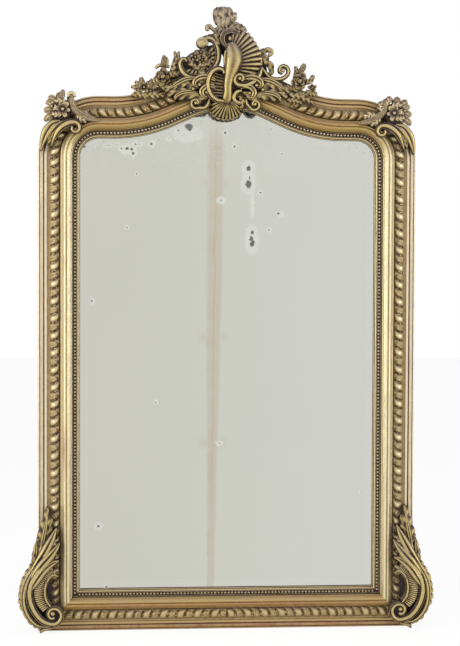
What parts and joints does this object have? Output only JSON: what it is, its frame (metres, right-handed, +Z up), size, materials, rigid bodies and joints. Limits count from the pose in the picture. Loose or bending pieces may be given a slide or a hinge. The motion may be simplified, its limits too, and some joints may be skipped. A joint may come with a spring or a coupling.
{
  "type": "overmantel mirror",
  "caption": "Tall bevelled overmantel mirror in an arched gilt frame with beaded and gadrooned mouldings, carved shell crest, roses and corner scrolls.",
  "frame": {"origin": "middle of the foot of the frame: half way between left and right, half way between the wall side and the front, and at the underside of the bottom member", "axes": "+X to the right seen from the front, +Y towards the wall, +Z up"},
  "size_m": [1.2142, 0.1178, 1.8052],
  "materials": {
    "gilt": "old water gilding on gesso, dusty in the hollows",
    "gilt_bright": "burnished water gilding, pale gold, rubbed on the high parts",
    "gilt_worn": "worn gilding with red bole and gesso showing through",
    "gilt_carving": "gilt carving and composition, dark brown in the recesses",
    "silvered_glass": "old silvered plate with foxing spots and a faint brown stain line",
    "pine": "old bare pine, darkened",
    "backboard": "rough sawn old boards",
    "brass": "dull aged brass",
    "screw_steel": "dull steel, slightly rusted"
  },
  "bodies": {
    "frame": {"sight_slip_bottom": "gilt", "sight_slip_left": "gilt", "sight_slip_right": "gilt", "sight_slip_top": "gilt", "bead_string_bottom": "gilt_bright", "bead_string_left": "gilt_bright", "bead_string_right": "gilt_bright", "bead_string_top_left": "gilt_bright", "bead_string_top_right": "gilt_bright", "face_moulding_bottom": "gilt_bright", "face_moulding_left": "gilt_bright", "face_moulding_right": "gilt_bright", "face_moulding_top_left": "gilt_bright", "face_moulding_top_right": "gilt_bright", "gadroon_band_bottom": "gilt", "gadroon_band_left": "gilt", "gadroon_band_right": "gilt", "gadroon_band_top_left": "gilt", "gadroon_band_top_right": "gilt", "edge_moulding_bottom": "gilt_worn", "edge_moulding_left": "gilt_worn", "edge_moulding_right": "gilt_worn", "edge_moulding_top_left": "gilt_worn", "edge_moulding_top_right": "gilt_worn", "chassis_bottom": "pine", "chassis_left": "pine", "chassis_right": "pine", "chassis_top": "pine", "mirror_plate": "silvered_glass", "backboard_left": "backboard", "backboard_right": "backboard", "batten_1": "pine", "batten_2": "pine", "batten_3": "pine", "hanger_strap_left": "brass", "hanger_screw_left_1": "screw_steel", "hanger_screw_left_2": "screw_steel", "hanger_strap_right": "brass", "hanger_screw_right_1": "screw_steel", "hanger_screw_right_2": "screw_steel", "crest_board": "pine", "crest_cartouche": "gilt_carving", "crest_scroll_left": "gilt_carving", "crest_scroll_right": "gilt_carving", "crest_finial": "gilt_carving", "crest_leaves_left": "gilt_carving", "crest_leaves_right": "gilt_carving", "rose_spray_left": "gilt_carving", "rose_spray_right": "gilt_carving", "flower_cluster_left": "gilt_carving", "shoulder_scroll_left": "gilt_carving", "shoulder_spray_left": "gilt_carving", "foot_scroll_left": "gilt_carving", "foot_leaf_left": "gilt_carving", "shoulder_scroll_right": "gilt_carving", "shoulder_spray_right": "gilt_carving", "foot_scroll_right": "gilt_carving", "foot_leaf_right": "gilt_carving"},
    "ring_left": {"hanger_ring_left": "brass"},
    "ring_right": {"hanger_ring_right": "brass"}
  },
  "joints": [
    {"name": "ring_left_swing", "type": "hinge", "parent": "frame", "child": "ring_left", "pos_m": [-0.496, 0.05498, 1.24], "axis": [1, 0, 0], "range_deg": [0, 180]},
    {"name": "ring_right_swing", "type": "hinge", "parent": "frame", "child": "ring_right", "pos_m": [0.496, 0.05498, 1.24], "axis": [1, 0, 0], "range_deg": [0, 180]}
  ]
}
